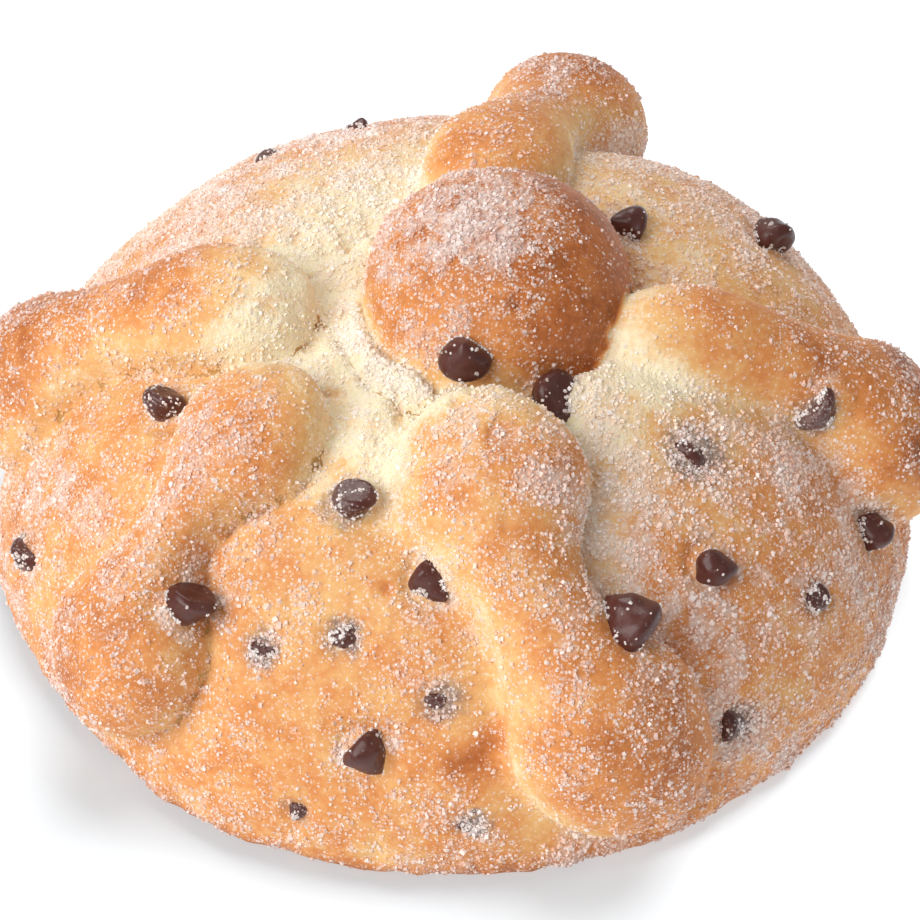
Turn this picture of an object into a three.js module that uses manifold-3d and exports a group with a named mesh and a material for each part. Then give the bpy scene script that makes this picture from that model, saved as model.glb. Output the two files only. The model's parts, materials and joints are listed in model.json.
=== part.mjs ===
// Pan de muerto: a round sweet loaf with a knob on its crown and five bones, strips of dough down its sides.
// Loaf, knob and bones bake together into one piece. Chocolate drops are baked into its surface.
// Millimetres and degrees, +Z up. The origin is on the table, under the middle of the loaf.
import * as THREE from "three";
import { mergeVertices } from "three/addons/utils/BufferGeometryUtils.js";
import Module from "manifold-3d";

const wasm = await Module();
wasm.setup();

// Loaf: a flattened dome, widest a little above the table, with a flat base
const LOAF_RADIUS = 80;
const LOAF_HEIGHT = 60.5;
const GIRTH_HEIGHT = 5.5;
const BASE_RADIUS = 74;
const DOME_FULLNESS = 2.1;
const OUT_OF_ROUND = 0.008;
const WIDE_AZIMUTH = 80;
const LOAF_SIDES = 72;
const DOME_RINGS = 18;
const SKIRT_RINGS = 3;

// The crown dips where the knob was pressed in
const DIP_DEPTH = 6.5;
const DIP_RADIUS = 28;

// The dough between the bones rises in two slow waves that cross, each with its direction and its phase.
// It sinks to a shallow groove beside each bone and is even again at the skirt.
const LUMP_HEIGHT = 0.35;
const LUMP_SPACING = 44;
const LUMP_WAVES = [
  { azimuth: 0, phase: 0.6 },
  { azimuth: 60, phase: 2.1 },
];
const GROOVE_DEPTH = 1.6;
const GROOVE_WIDTH = 6;
const GROOVE_STEPS = 12;
const EVEN_BELOW = 5.5;
const UNEVEN_ABOVE = 16.5;

// Knob: a flattened ball, sunk to its middle in the dip
const KNOB_CENTRE = new THREE.Vector3(7, 0.5, 57.5);
const KNOB_RADIUS = 21.8;
const KNOB_HALF_HEIGHT = 16;
const KNOB_SIDES = 32;
const KNOB_RINGS = 16;

// Bones: each runs over the loaf along a plan line from an inner to an outer point (azimuth and distance from
// the middle), which bows sideways. The half widths and half heights are those of the inner bulge, the waist
// and the outer bulge.
const BONES = [
  {
    from: [282.3, 26.2],
    to: [291.7, 79.9],
    bow: -8.6,
    halfWidths: [16.1, 7.9, 16.7],
    halfHeights: [10.5, 7.5, 11.5],
  },
  {
    from: [224, 31.5],
    to: [226, 79.3],
    bow: -2.5,
    halfWidths: [12.3, 4.4, 14.4],
    halfHeights: [8.5, 5.5, 11],
  },
  {
    from: [193.5, 24],
    to: [175, 78.5],
    bow: 0,
    halfWidths: [12.6, 8, 15.5],
    halfHeights: [9.5, 6.5, 11.2],
  },
  {
    from: [85, 17],
    to: [72.5, 77.5],
    bow: 0,
    halfWidths: [13, 7.5, 15.2],
    halfHeights: [9, 5, 13.2],
  },
  {
    from: [338, 26],
    to: [355, 78],
    bow: 0,
    halfWidths: [10, 8, 16.2],
    halfHeights: [8, 7, 11.2],
  },
];
const BONE_LIFT = 1;
const INNER_BULGE_AT = 0.2;
const OUTER_BULGE_AT = 0.77;
const BULGE_SPREAD = 0.18;
const BONE_END_BLUNTNESS = 5;
const BONE_SIDES = 18;
const BONE_RINGS = 20;
const BONE_PATH_STEPS = 40;

// Chocolate drops: where each lies (azimuth and distance from the middle), its width, how far it stands out
// of the crust, how far its tip leans over (0 points out, 90 lies flat, 180 points in) and where its tip then
// heads (0 downhill, 90 anticlockwise from there, seen from outside).
const DROPS = [
  { azimuth: 274, distance: 21.9, width: 8.9, stands: 12.5, lean: 10, heading: 180 },
  { azimuth: 302.3, distance: 28.1, width: 9.2, stands: 6.2, lean: 130, heading: 20 },
  { azimuth: 249.8, distance: 46.4, width: 7.5, stands: 4.2, lean: 150, heading: 0 },
  { azimuth: 266.9, distance: 55.7, width: 8, stands: 3.2, lean: 80, heading: 45 },
  { azimuth: 232.4, distance: 67, width: 8.6, stands: 9, lean: 105, heading: 0 },
  { azimuth: 202.4, distance: 51.6, width: 7.4, stands: 4.8, lean: 120, heading: 20 },
  { azimuth: 200, distance: 77.2, width: 7.6, stands: 2.4, lean: 100, heading: 0 },
  { azimuth: 243.2, distance: 68, width: 7, stands: 0.8, lean: 25, heading: 300 },
  { azimuth: 253.7, distance: 64.3, width: 6.6, stands: 0.5, lean: 25, heading: 300 },
  { azimuth: 259.8, distance: 75.5, width: 8.6, stands: 2.9, lean: 85, heading: 50 },
  { azimuth: 267.6, distance: 70.5, width: 7, stands: 0.7, lean: 90, heading: 0 },
  { azimuth: 271.3, distance: 79.5, width: 5.2, stands: 0.7, lean: 150, heading: 0 },
  { azimuth: 251.6, distance: 79.9, width: 3.6, stands: 0.7, lean: 30, heading: 0 },
  { azimuth: 293, distance: 63.3, width: 11.2, stands: 13, lean: 95, heading: 215 },
  { azimuth: 310.8, distance: 61.9, width: 7.3, stands: 3.3, lean: 55, heading: 180 },
  { azimuth: 322.1, distance: 48.5, width: 7.4, stands: 1.5, lean: 95, heading: 100 },
  { azimuth: 345.9, distance: 60.8, width: 8.8, stands: 8.6, lean: 100, heading: 20 },
  { azimuth: 340.4, distance: 74.2, width: 7.6, stands: 4.6, lean: 85, heading: 180 },
  { azimuth: 323.8, distance: 73, width: 5, stands: 1, lean: 160, heading: 0 },
  { azimuth: 306, distance: 77.6, width: 6.4, stands: 2, lean: 90, heading: 80 },
  { azimuth: 31.9, distance: 33.8, width: 7.5, stands: 3.7, lean: 70, heading: 150 },
  { azimuth: 27.5, distance: 60.5, width: 8.4, stands: 4.5, lean: 80, heading: 100 },
  { azimuth: 108.2, distance: 59.6, width: 6.4, stands: 1.5, lean: 75, heading: 90 },
  { azimuth: 124, distance: 61, width: 6.4, stands: 0.9, lean: 120, heading: 0 },
  { azimuth: 14, distance: 76.5, width: 7.4, stands: 1.4, lean: 140, heading: 60 },
  { azimuth: 43, distance: 78.2, width: 8, stands: 2.6, lean: 150, heading: 0 },
  { azimuth: 27, distance: 79.4, width: 7.2, stands: 1, lean: 165, heading: 0 },
  { azimuth: 92, distance: 73.5, width: 7.4, stands: 2.4, lean: 80, heading: 200 },
  { azimuth: 117, distance: 76.5, width: 6.6, stands: 0.8, lean: 160, heading: 0 },
  { azimuth: 133, distance: 77.4, width: 8.2, stands: 2.8, lean: 110, heading: 330 },
  { azimuth: 147, distance: 79.2, width: 6.8, stands: 1.6, lean: 60, heading: 30 },
  { azimuth: 156, distance: 77.5, width: 7.4, stands: 2, lean: 95, heading: 120 },
];
const DROP_HEIGHT_SHARE = 0.78;
const DROP_SIDES = 8;
const DROP_CLEARANCE = 0.35;
// Profile of a drop from the middle of its flat base to its tip, as shares of its radius and its height
const DROP_PROFILE = [
  [0, 0],
  [0.82, 0],
  [1, 0.14],
  [0.93, 0.38],
  [0.6, 0.66],
  [0.2, 0.9],
  [0, 1],
];

const CRUST = new THREE.MeshStandardMaterial({ name: "crust", color: 0xd2924f, roughness: 0.75 });
const CHOCOLATE = new THREE.MeshStandardMaterial({ name: "chocolate", color: 0x2e1512, roughness: 0.4 });

// Step over which the dome's slope is taken, and the distance within which vertices count as one
const SLOPE_STEP = 0.04;
const SAME_POINT = 1e-3;

const radians = THREE.MathUtils.degToRad;

// Share by which the loaf is wider than round in a direction
function outline(azimuth) {
  return 1 + OUT_OF_ROUND * Math.cos(2 * (azimuth - radians(WIDE_AZIMUTH)));
}

// Height of the smooth dome at a distance from the loaf's middle, with the dip in its crown
function domeHeight(distance) {
  const fall = Math.min(distance / LOAF_RADIUS, 1) ** DOME_FULLNESS;
  const dip = DIP_DEPTH * Math.exp(-((distance / DIP_RADIUS) ** 3));
  return GIRTH_HEIGHT + (LOAF_HEIGHT - GIRTH_HEIGHT) * Math.sqrt(1 - fall) - dip;
}

// Point of the smooth dome over a plan point
function onDome(x, y) {
  const distance = Math.hypot(x, y) / outline(Math.atan2(y, x));
  return new THREE.Vector3(x, y, domeHeight(distance));
}

// Outward normal of the smooth dome over a plan point
function domeNormal(x, y) {
  const distance = THREE.MathUtils.clamp(Math.hypot(x, y), SLOPE_STEP, LOAF_RADIUS - 2 * SLOPE_STEP);
  const slope = (domeHeight(distance + SLOPE_STEP) - domeHeight(distance - SLOPE_STEP)) / (2 * SLOPE_STEP);
  const azimuth = Math.atan2(y, x);
  return new THREE.Vector3(-slope * Math.cos(azimuth), -slope * Math.sin(azimuth), 1).normalize();
}

// Plan point at an azimuth in degrees and a distance from the middle
function planPoint([azimuth, distance]) {
  return new THREE.Vector2(Math.cos(radians(azimuth)), Math.sin(radians(azimuth))).multiplyScalar(distance);
}

// Plan point a share of the way along a bone
function bonePlanPoint(bone, share) {
  const from = planPoint(bone.from);
  const run = planPoint(bone.to).sub(from);
  const side = new THREE.Vector2(-run.y, run.x).normalize();
  return from.addScaledVector(run, share).addScaledVector(side, 4 * share * (1 - share) * bone.bow);
}

// Size of a bone a share of the way along it: a waist, and a bulge that keeps its size on to each end
function bulging([inner, waist, outer], share) {
  const bulge = (past) => Math.exp(-((Math.max(past, 0) / BULGE_SPREAD) ** 2));
  const innerBulge = (inner - waist) * bulge(share - INNER_BULGE_AT);
  const outerBulge = (outer - waist) * bulge(OUTER_BULGE_AT - share);
  return waist + innerBulge + outerBulge;
}

// How far the loaf sinks beside the bones at a plan point
function grooveDepth(x, y) {
  const point = new THREE.Vector2(x, y);
  const shares = Array.from({ length: GROOVE_STEPS + 1 }, (_, i) => i / GROOVE_STEPS);
  const gaps = BONES.flatMap((bone) =>
    shares.map((share) => bonePlanPoint(bone, share).distanceTo(point) - bulging(bone.halfWidths, share)),
  );
  const gap = Math.max(Math.min(...gaps), 0);
  return GROOVE_DEPTH * Math.exp(-((gap / GROOVE_WIDTH) ** 2));
}

// How far the loaf rises at a plan point, from its slow lumps
function lumpHeight(x, y) {
  const turn = (2 * Math.PI) / LUMP_SPACING;
  const point = new THREE.Vector2(x, y);
  return LUMP_WAVES.reduce((sum, { azimuth, phase }) => {
    const along = planPoint([azimuth, 1]).dot(point);
    return sum + LUMP_HEIGHT * Math.sin(turn * along + phase);
  }, 0);
}

// How far the uneven loaf stands off the smooth dome over a plan point
function unevenness(x, y) {
  return lumpHeight(x, y) - grooveDepth(x, y);
}

// Moves each vertex of a three.js geometry to where a function puts it
function reshape(geometry, place) {
  const position = geometry.getAttribute("position");
  const uv = geometry.getAttribute("uv");
  for (let i = 0; i < position.count; i++) {
    const at = new THREE.Vector3().fromBufferAttribute(position, i);
    const moved = place(at, uv.getX(i), uv.getY(i));
    position.setXYZ(i, moved.x, moved.y, moved.z);
  }
  return geometry;
}

// A closed geometry as a solid, its shared vertices merged and its faces turned outwards
function solidOf(geometry) {
  const bare = new THREE.BufferGeometry();
  bare.setAttribute("position", geometry.getAttribute("position"));
  bare.setIndex(geometry.index);
  const merged = mergeVertices(bare, SAME_POINT);
  const vertProperties = merged.getAttribute("position").array;
  const make = (triVerts) => new wasm.Manifold(new wasm.Mesh({ numProp: 3, vertProperties, triVerts }));
  const triVerts = new Uint32Array(merged.index.array);
  const solid = make(triVerts);
  return solid.volume() > 0 ? solid : make(triVerts.reverse());
}

// A solid as a three.js geometry
function geometryOf(solid) {
  const { vertProperties, triVerts } = solid.getMesh();
  const geometry = new THREE.BufferGeometry();
  geometry.setAttribute("position", new THREE.BufferAttribute(vertProperties, 3));
  geometry.setIndex(new THREE.BufferAttribute(triVerts, 1));
  geometry.computeVertexNormals();
  return geometry;
}

// Loaf: its half section turned about Z, from the middle of the base over the rounded skirt to the crown
function loaf() {
  const skirt = Array.from({ length: SKIRT_RINGS + 1 }, (_, i) => {
    const angle = ((i / SKIRT_RINGS) * Math.PI) / 2;
    const reach = BASE_RADIUS + (LOAF_RADIUS - BASE_RADIUS) * Math.sin(angle);
    return new THREE.Vector2(reach, GIRTH_HEIGHT * (1 - Math.cos(angle)));
  });
  const dome = Array.from({ length: DOME_RINGS }, (_, i) => {
    const angle = (((i + 1) / DOME_RINGS) * Math.PI) / 2;
    const distance = i + 1 < DOME_RINGS ? LOAF_RADIUS * Math.cos(angle) ** (2 / DOME_FULLNESS) : 0;
    return new THREE.Vector2(distance, domeHeight(distance));
  });
  const section = [new THREE.Vector2(0, 0), ...skirt, ...dome];
  const turned = new THREE.LatheGeometry(section, LOAF_SIDES).rotateX(Math.PI / 2);
  return reshape(turned, (at) => {
    const widening = outline(Math.atan2(at.y, at.x));
    const moved = new THREE.Vector3(at.x * widening, at.y * widening, at.z);
    const fade = THREE.MathUtils.smoothstep(at.z, EVEN_BELOW, UNEVEN_ABOVE);
    return moved.addScaledVector(domeNormal(moved.x, moved.y), unevenness(moved.x, moved.y) * fade);
  });
}

// Knob: a ball flattened along Z
function knob() {
  const ball = new THREE.SphereGeometry(KNOB_RADIUS, KNOB_SIDES, KNOB_RINGS).rotateX(Math.PI / 2);
  return ball.scale(1, 1, KNOB_HALF_HEIGHT / KNOB_RADIUS).translate(...KNOB_CENTRE);
}

// Bone: oval rings of the bulging size, carried along a curve on the dome and closed by blunt ends
function bone(shape) {
  const steps = Array.from({ length: BONE_PATH_STEPS + 1 }, (_, i) => {
    const { x, y } = bonePlanPoint(shape, i / BONE_PATH_STEPS);
    return onDome(x, y);
  });
  const path = new THREE.CatmullRomCurve3(steps);
  const ball = new THREE.SphereGeometry(1, BONE_SIDES, BONE_RINGS);
  return reshape(ball, (at, around, along) => {
    const share = (1 + Math.cos(Math.PI * along)) / 2;
    const centre = path.getPointAt(share);
    const forward = path.getTangentAt(share);
    const up = domeNormal(centre.x, centre.y);
    up.addScaledVector(forward, -up.dot(forward)).normalize();
    const side = new THREE.Vector3().crossVectors(up, forward);
    const end = Math.sqrt(Math.max(1 - Math.abs(2 * share - 1) ** BONE_END_BLUNTNESS, 0));
    const turn = 2 * Math.PI * around;
    return centre
      .addScaledVector(up, BONE_LIFT + bulging(shape.halfHeights, share) * end * Math.sin(turn))
      .addScaledVector(side, bulging(shape.halfWidths, share) * end * Math.cos(turn));
  });
}

// Chocolate drop: its profile turned about its own axis, grown on every side by a clearance
function drop({ width }, clearance) {
  const radius = width / 2;
  const height = width * DROP_HEIGHT_SHARE;
  const spread = (radius + clearance) / radius;
  const stretch = (height + 2 * clearance) / height;
  const section = DROP_PROFILE.map(
    ([out, up]) => new THREE.Vector2(out * radius * spread, (up - 0.5) * height * stretch),
  );
  return new THREE.LatheGeometry(section, DROP_SIDES).rotateX(Math.PI / 2);
}

// Where a drop lies: leaned over in the crust, with its highest point standing out as far as asked
function dropPlacement(shape) {
  const { x, y } = planPoint([shape.azimuth, shape.distance]);
  const up = domeNormal(x, y);
  const anticlockwise = new THREE.Vector3(0, 0, 1).cross(up).normalize();
  const downhill = new THREE.Vector3().crossVectors(anticlockwise, up);
  const heading = radians(shape.heading);
  const towards = downhill.multiplyScalar(Math.cos(heading));
  towards.addScaledVector(anticlockwise, Math.sin(heading));
  const lean = radians(shape.lean);
  const tip = up.clone().multiplyScalar(Math.cos(lean)).addScaledVector(towards, Math.sin(lean));
  const turned = new THREE.Quaternion().setFromUnitVectors(new THREE.Vector3(0, 0, 1), tip);
  const corners = drop(shape, 0).applyQuaternion(turned).getAttribute("position");
  const corner = (i) => new THREE.Vector3().fromBufferAttribute(corners, i);
  const reach = Math.max(...Array.from({ length: corners.count }, (_, i) => corner(i).dot(up)));
  const centre = onDome(x, y).addScaledVector(up, unevenness(x, y) + shape.stands - reach);
  return new THREE.Matrix4().compose(centre, turned, new THREE.Vector3(1, 1, 1));
}

// The bread: loaf, knob and bones in one piece, with a pocket for each drop. Crumbs cut off by a pocket are
// left out.
function bread() {
  const rising = [loaf(), knob(), ...BONES.map(bone)].map(solidOf);
  const dough = rising.reduce((whole, piece) => whole.add(piece));
  const pocket = (shape) => solidOf(drop(shape, DROP_CLEARANCE).applyMatrix4(dropPlacement(shape)));
  const pieces = DROPS.map(pocket)
    .reduce((whole, hollow) => whole.subtract(hollow), dough)
    .decompose();
  return geometryOf(pieces.reduce((largest, piece) => (piece.volume() > largest.volume() ? piece : largest)));
}

function mesh(name, geometry, material) {
  const made = new THREE.Mesh(geometry, material);
  made.name = name;
  return made;
}

const panDeMuerto = new THREE.Group();
panDeMuerto.name = "pan_de_muerto";
panDeMuerto.add(mesh("bread", bread(), CRUST));
DROPS.forEach((shape, i) => {
  const made = mesh(`drop_${String(i + 1).padStart(2, "0")}`, geometryOf(solidOf(drop(shape, 0))), CHOCOLATE);
  dropPlacement(shape).decompose(made.position, made.quaternion, made.scale);
  panDeMuerto.add(made);
});

export default panDeMuerto;
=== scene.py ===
"""Pan de muerto: a round sweet loaf with a knob, bones of dough, chocolate drops and granulated sugar."""

import json
import math
from typing import NamedTuple

import bpy
import numpy as np
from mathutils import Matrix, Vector

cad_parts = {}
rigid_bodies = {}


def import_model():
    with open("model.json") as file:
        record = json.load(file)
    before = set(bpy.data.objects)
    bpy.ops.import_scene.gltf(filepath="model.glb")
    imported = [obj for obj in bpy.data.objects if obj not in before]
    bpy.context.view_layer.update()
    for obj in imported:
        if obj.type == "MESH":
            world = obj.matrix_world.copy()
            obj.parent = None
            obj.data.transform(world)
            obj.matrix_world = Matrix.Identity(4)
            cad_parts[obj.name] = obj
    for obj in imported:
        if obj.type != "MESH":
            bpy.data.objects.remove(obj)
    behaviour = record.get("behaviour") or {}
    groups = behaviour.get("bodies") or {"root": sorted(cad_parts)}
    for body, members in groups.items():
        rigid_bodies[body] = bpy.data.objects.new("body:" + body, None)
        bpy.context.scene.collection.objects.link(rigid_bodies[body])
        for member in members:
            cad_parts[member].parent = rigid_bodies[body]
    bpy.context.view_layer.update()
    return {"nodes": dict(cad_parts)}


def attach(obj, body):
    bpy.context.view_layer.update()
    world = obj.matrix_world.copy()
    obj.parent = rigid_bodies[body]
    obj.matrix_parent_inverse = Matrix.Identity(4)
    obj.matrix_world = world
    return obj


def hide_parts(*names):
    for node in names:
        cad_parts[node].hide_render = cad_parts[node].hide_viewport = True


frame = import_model()

bl_info = {
    "name": "Pan de muerto",
    "version": (1, 0, 0),
    "blender": (4, 5, 0),
    "location": "View3D > Sidebar > Pan de muerto",
    "description": "Bakes the loaf, sets its chocolate drops and scatters its sugar",
    "category": "Object",
}

MM = 0.001
BREAD = "baked_bread"


class Bone(NamedTuple):
    """A strip of dough that runs over the loaf from a start to an end, with its sizes in millimetres.

    Start and end are an azimuth in degrees and a distance from the middle, and bow is how far the strip bends
    to its left. Half widths and half heights are those of the inner bulge, the waist and the outer bulge.
    Softness is that of the right and the left edge, on the inner and then on the outer half: 0 meets the loaf
    in a crease and 1 slopes into it. Bake is how browned the right edge, the left edge and the crest are, and
    how much less the inner end is. Sugar is how much more of it lies on the bone than usual.
    """

    start: tuple
    end: tuple
    bow: float
    half_widths: tuple
    half_heights: tuple
    softness: tuple
    bake: tuple
    sugar: float


BONES = {
    "front": Bone(
        start=(282.3, 26.2),
        end=(291.7, 79.9),
        bow=-8.6,
        half_widths=(16.1, 7.9, 16.7),
        half_heights=(10.5, 7.5, 11.5),
        softness=(0.4, 0.1, 0.5, 0),
        bake=(0.18, 0.48, 0.5, 0.36),
        sugar=0.04,
    ),
    "front_left": Bone(
        start=(224, 31.5),
        end=(226, 79.3),
        bow=-2.5,
        half_widths=(12.3, 4.4, 14.4),
        half_heights=(8.5, 5.5, 11),
        softness=(0.2, 0, 0.4, 0),
        bake=(0.28, 0.4, 0.5, 0.2),
        sugar=-0.18,
    ),
    "left": Bone(
        start=(193.5, 24),
        end=(175, 78.5),
        bow=0,
        half_widths=(12.6, 8, 15.5),
        half_heights=(9.5, 6.5, 11.2),
        softness=(0.15, 0.1, 0.2, 0.3),
        bake=(0.52, 0.22, 0.62, 0.5),
        sugar=-0.2,
    ),
    "back": Bone(
        start=(85, 17),
        end=(72.5, 77.5),
        bow=0,
        half_widths=(13, 7.5, 15.2),
        half_heights=(9, 5, 13.2),
        softness=(0, 0, 0, 0.1),
        bake=(0.25, 0.25, 0.54, 0),
        sugar=-0.28,
    ),
    "right": Bone(
        start=(338, 26),
        end=(355, 78),
        bow=0,
        half_widths=(10, 8, 16.2),
        half_heights=(8, 7, 11.2),
        softness=(0.6, 0.4, 0.3, 0.1),
        bake=(0.34, 0.3, 0.5, 0.3),
        sugar=-0.24,
    ),
}
BONE_LIFT = 1 * MM
INNER_BULGE_AT = 0.2
OUTER_BULGE_AT = 0.77
BULGE_SPREAD = 0.18
BONE_END_BLUNTNESS = 5
BONE_PATH_POINTS = 141

# Rings round the knob: distances from its axis, and an azimuth, half width and soft margin in degrees
COLLAR_RING = 24.8 * MM
COLLAR_WINDOW = (214, 34, 14)
CRACK_RING = 28.6 * MM

BAKE_STOPS = (0, 0.26, 0.52, 0.78, 1)
BASE_BAKE = 0.72
FAR_FROM_CRACK = 9 * MM
NEAR_DROP = 12 * MM

# How random values, curves and the even grid are worked out
LATTICE_CELLS = 64
SECTION_POINTS = 3000
PLAN_POINTS = 800
EVEN_PACE = 0.7


class Dusting(NamedTuple):
    """Share of a drop that fine sugar covers, and the smudge of chocolate beside it.

    The smudge has a share of the crust's colour, a reach in mm, and an azimuth in which it lies.
    """

    share: float
    smudge: float
    reach: float
    azimuth: float


DUSTED = {
    "drop_03": Dusting(0.35, 0.7, 5, 185),
    "drop_06": Dusting(0.3, 0.4, 4, 120),
    "drop_07": Dusting(0.3, 0.4, 4, 90),
    "drop_08": Dusting(0.3, 0.9, 3.8, 40),
    "drop_09": Dusting(0.3, 0.9, 3.8, 40),
    "drop_11": Dusting(0.22, 0.8, 4.0, 0),
    "drop_12": Dusting(0.1, 0.95, 3.5, 20),
    "drop_13": Dusting(0.35, 0.4, 2.5, 90),
    "drop_16": Dusting(0.15, 0.85, 7, 330),
    "drop_17": Dusting(0.4, 0.7, 4.5, 215),
    "drop_19": Dusting(0.25, 0.6, 3.5, 300),
    "drop_20": Dusting(0.4, 0.8, 5, 20),
    "drop_24": Dusting(0.35, 0.4, 3, 90),
}
BARE = Dusting(0.03, 0, 0, 0)
DENT_DEPTH = 0.7 * MM


class Mark(NamedTuple):
    """A dent in the crust along a line: its two ends, half width and depth in mm, and how much it darkens the
    bake, which in a pit is painted shade.
    """

    start: tuple
    end: tuple
    half_width: float
    depth: float
    bake: float


MARKS = {
    "pit_in_knob": Mark((9.6, -15.8, 68.1), (9.6, -15.8, 68.1), 0.9, 0.8, 0.45),
    "pit_in_front": Mark((-10.7, -55.9, 44.6), (-10.7, -55.9, 44.6), 0.9, 0.8, 0.4),
    "scar_on_front": Mark((0, -75.6, 24.7), (6.4, -72.6, 27.4), 2, 0.3, 0.2),
}

DROP_NODES = sorted(name for name in frame["nodes"] if name.startswith("drop_"))
DROP_PIECES = {name: "chocolate_" + name for name in DROP_NODES}


class Lamp(NamedTuple):
    """A square lamp: its place and its side, in metres."""

    place: tuple
    side: float


KEY = Lamp((-0.58, -0.42, 0.66), 0.8)
BACK = Lamp((-0.1, 0.72, 0.7), 0.5)
OVER_FLOOR = Lamp((0.22, 0.27, 1.0), 0.8)
LIT_PLACE = Vector((0, 0, 0.03))
FLOOR_HALF_WIDTH = 3.0
SENSOR_WIDTH = 36


# Settings


def length_setting(name, description, millimetres):
    """A length, given in millimetres."""
    default = millimetres * MM
    return bpy.props.FloatProperty(name=name, description=description, default=default, unit="LENGTH")


def place_setting(name, description, *millimetres):
    """A place, given in millimetres."""
    default = [part * MM for part in millimetres]
    return bpy.props.FloatVectorProperty(name=name, description=description, default=default, unit="LENGTH")


def angle_setting(name, description, degrees):
    """An angle, given in degrees."""
    default = math.radians(degrees)
    return bpy.props.FloatProperty(name=name, description=description, default=default, unit="ROTATION")


def power_setting(name, description, watts):
    """The power of a lamp, given in watts."""
    return bpy.props.FloatProperty(name=name, description=description, default=watts, unit="POWER")


def number_setting(name, description, default):
    """A plain number."""
    return bpy.props.FloatProperty(name=name, description=description, default=default)


def count_setting(name, description, default, **limits):
    """A whole number within limits."""
    return bpy.props.IntProperty(name=name, description=description, default=default, **limits)


def colour_setting(name, description, *shares):
    """A colour, given as its shares of red, green and blue."""
    kind = {"subtype": "COLOR", "size": 4}
    return bpy.props.FloatVectorProperty(name=name, description=description, default=(*shares, 1), **kind)


class LoafSettings(bpy.types.PropertyGroup):
    """Sizes of the loaf and its knob"""

    radius: length_setting("Radius", "Half the loaf's width at its girth", 80)
    height: length_setting("Height", "Height of the dome before the crown dips", 60.5)
    girth_height: length_setting("Girth height", "Height of the widest ring", 5.5)
    base_radius: length_setting("Base radius", "Radius of the flat base", 74)
    fullness: number_setting("Fullness", "Power of the dome's curve; 2 is an ellipse", 2.1)
    out_of_round: number_setting("Out of round", "Share by which the outline is wider one way", 0.008)
    wide_azimuth: angle_setting("Wide azimuth", "Direction in which it is widest", 80)
    dip_depth: length_setting("Dip depth", "How far the crown sinks under the knob", 6.5)
    dip_radius: length_setting("Dip radius", "Radius of the sunk crown", 28)
    lump_height: length_setting("Lump height", "Height of the slow lumps of the dough", 0.7)
    lump_spacing: length_setting("Lump spacing", "Distance between the slow lumps", 44)
    groove_depth: length_setting("Groove depth", "How far the loaf sinks beside a bone", 1.6)
    groove_width: length_setting("Groove width", "How far that groove reaches", 6)
    knob_centre: place_setting("Knob centre", "Middle of the knob", 7, 0.5, 57.5)
    knob_radius: length_setting("Knob radius", "Half the knob's width", 21.8)
    knob_half_height: length_setting("Knob half height", "Half the knob's height", 16)
    cells: count_setting("Cells", "Cells along each side of the bread's grid", 310, min=40, max=312)
    even_rounds: count_setting("Even rounds", "Rounds that even out the cells", 150, min=0)


class CrustSettings(bpy.types.PropertyGroup):
    """Colours of the crust from the palest dough to the darkest bake"""

    pale: colour_setting("Pale dough", "Dough in the creases", 0.96, 0.84, 0.58)
    light: colour_setting("Light crust", "Lightly baked crust", 0.82, 0.48, 0.19)
    golden: colour_setting("Golden crust", "Well baked crust", 0.71, 0.27, 0.077)
    brown: colour_setting("Brown crust", "Tops of knob and bones", 0.46, 0.13, 0.03)
    dark: colour_setting("Dark crust", "Darkest spots", 0.2, 0.055, 0.012)
    dust: colour_setting("Sugar dust", "Fine sugar on the crust", 0.92, 0.82, 0.75)
    # Crumb is painted along the cracks and creases, partly as torn dough and partly as painted shade.
    crumb: colour_setting("Crumb", "Dough in the cracks", 0.56, 0.31, 0.1)
    smudge: colour_setting("Smudge", "Chocolate on the crust", 0.2, 0.15, 0.14)


class DropSettings(bpy.types.PropertyGroup):
    """Looks of the chocolate drops"""

    chocolate: colour_setting("Chocolate", "Dark chocolate", 0.085, 0.021, 0.015)
    bloom: colour_setting("Bloom", "Pale haze on old chocolate", 0.13, 0.05, 0.04)
    dust: colour_setting("Dust", "Fine sugar on the drops", 0.55, 0.48, 0.45)
    rings: count_setting("Rings", "Rings from base to tip", 30, min=8)
    sides: count_setting("Sides", "Vertices around each ring", 44, min=8)


class SugarSettings(bpy.types.PropertyGroup):
    """Grains of sugar"""

    coarse_count: count_setting("Coarse grains", "Number of coarse grains", 12000)
    medium_count: count_setting("Medium grains", "Number of medium grains", 16600)
    small_count: count_setting("Small grains", "Number of small grains", 14700)
    fine_count: count_setting("Fine grains", "Number of fine grains", 15400)
    coarse_size: length_setting("Coarse size", "Width of a coarse grain", 0.54)
    medium_size: length_setting("Medium size", "Width of a medium grain", 0.45)
    small_size: length_setting("Small size", "Width of a small grain", 0.37)
    fine_size: length_setting("Fine size", "Width of a fine grain", 0.29)
    on_drops: count_setting("Grains on drops", "Number of small grains on the drops", 1900)
    colour: colour_setting("Sugar", "White crystals", 0.92, 0.86, 0.83)
    seed: count_setting("Seed", "Start of the random draw", 11)


class StageSettings(bpy.types.PropertyGroup):
    """Camera, light and floor"""

    elevation: angle_setting("Elevation", "Camera above the horizon", 46)
    distance: length_setting("Distance", "Camera to its target", 560)
    target: place_setting("Target", "What the camera looks at", 0.72, -11.84, 28)
    lens: number_setting("Lens", "Focal length in millimetres", 129.8)
    key_power: power_setting("Key", "Power of the key light", 8.8)
    back_power: power_setting("Back", "Power of the back light", 3.0)
    floor_power: power_setting("Floor", "Power of the floor light", 17)
    sky: number_setting("Sky", "Strength of the even light all round", 0.36)
    floor: colour_setting("Floor", "Colour of the floor", 0.5, 0.53, 0.55)


# Plain arithmetic on whole arrays


def step(low, high, value):
    """Smooth step from 0 at low to 1 at high: 3t² - 2t³ of the share t of the way."""
    t = np.clip((value - low) / (high - low), 0, 1)
    return t * t * (3 - 2 * t)


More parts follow.
